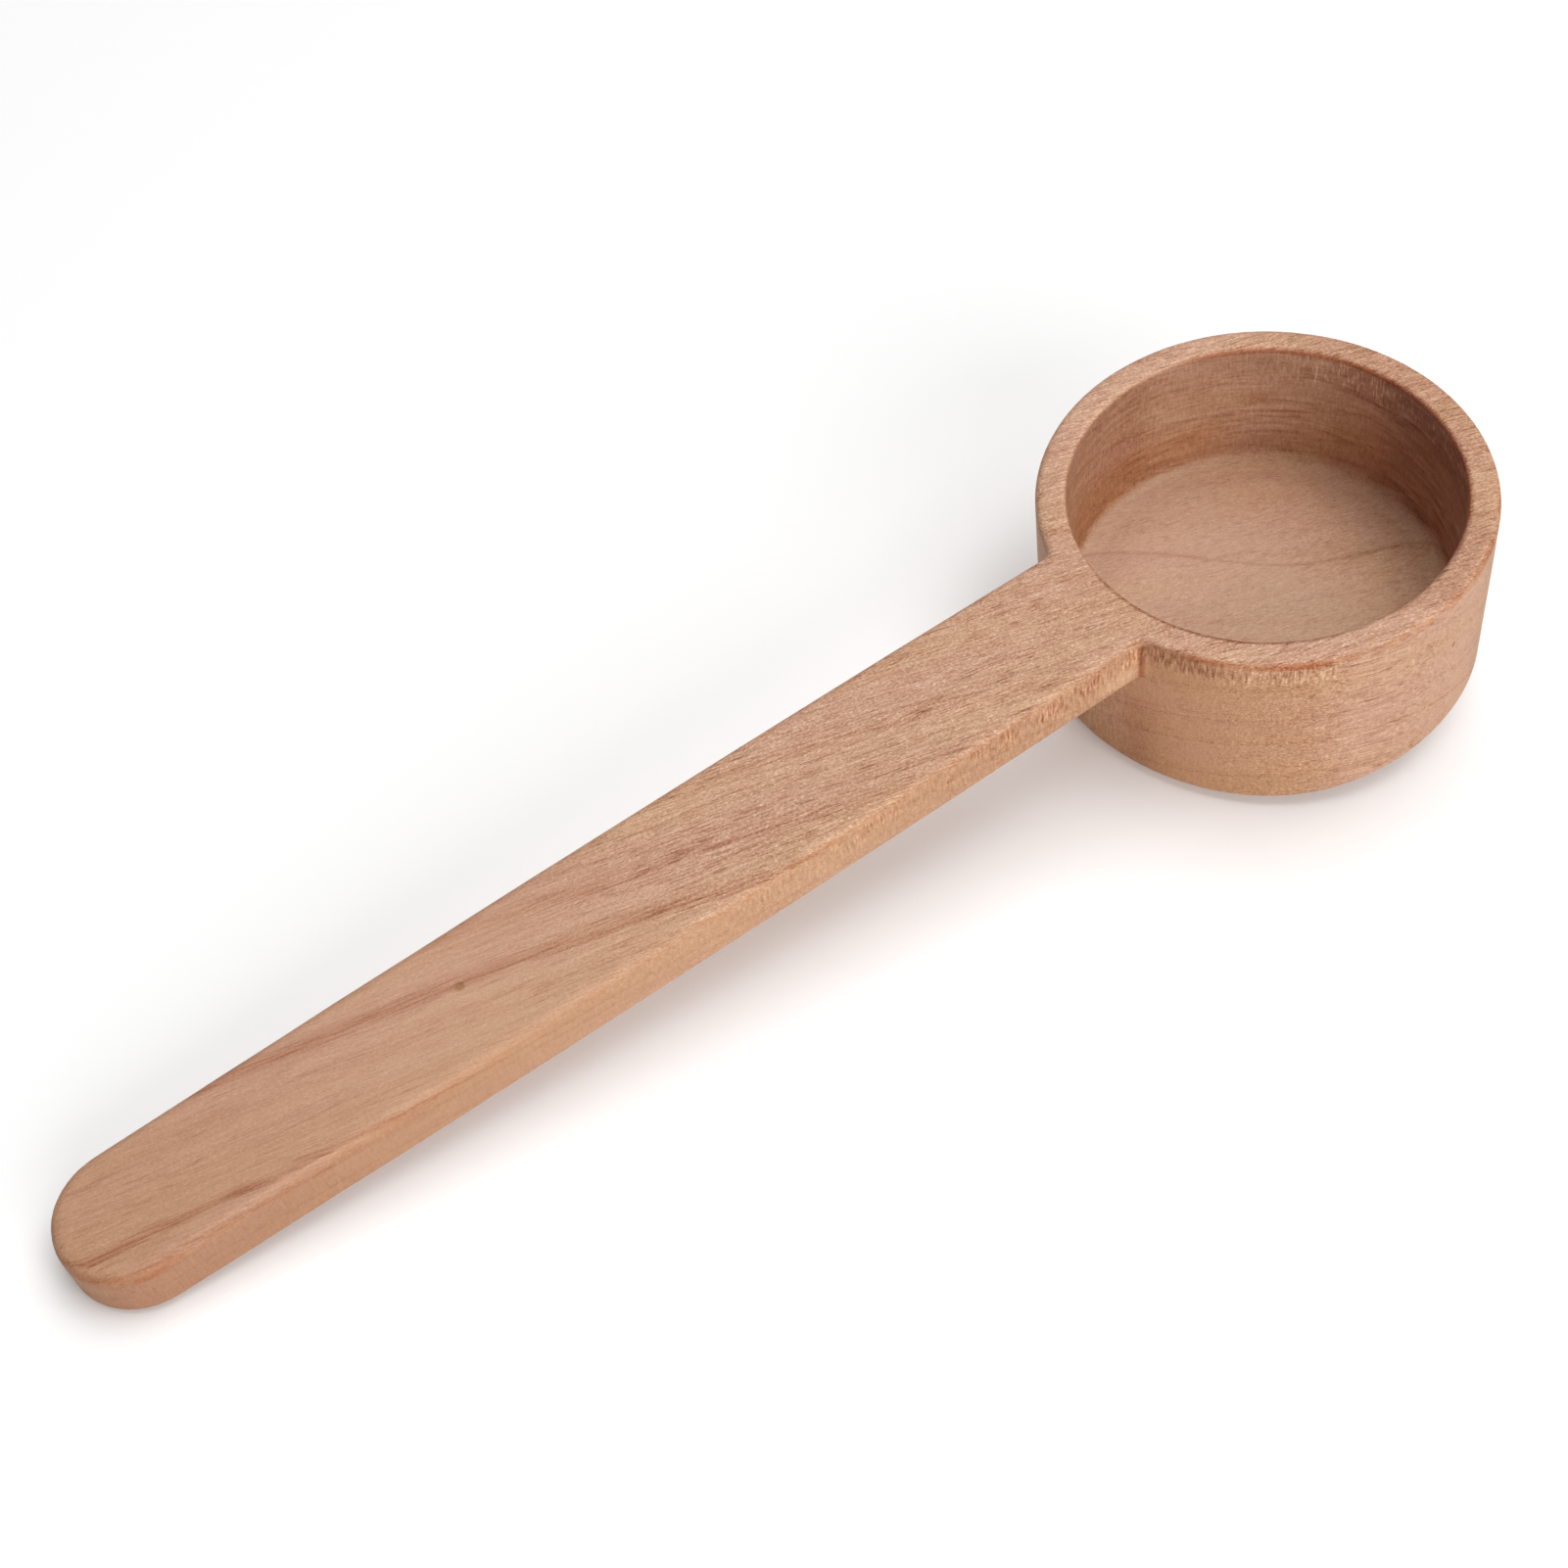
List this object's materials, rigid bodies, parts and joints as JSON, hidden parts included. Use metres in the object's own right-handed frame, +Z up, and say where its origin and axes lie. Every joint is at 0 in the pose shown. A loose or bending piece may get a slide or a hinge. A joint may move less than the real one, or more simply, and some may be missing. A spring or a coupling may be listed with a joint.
{
  "type": "measuring spoon",
  "caption": "Wooden measuring spoon: a straight-sided round cup and a flat, round-tipped handle flush with its rim, carved from a single blank.",
  "frame": {"origin": "middle of the spoon's box at table height, with the spoon lying as it rests: on the lower edge of the cup and the tip of the handle", "axes": "+X along the spoon towards the cup, +Z up from the table; the handle points to -X and slopes down to its tip"},
  "size_m": [0.1462, 0.042, 0.025],
  "materials": {
    "wood": "pale reddish-brown fine-pored hardwood, sanded, bare or lightly oiled, matt"
  },
  "bodies": {
    "root": {"spoon": "wood"}
  },
  "joints": []
}
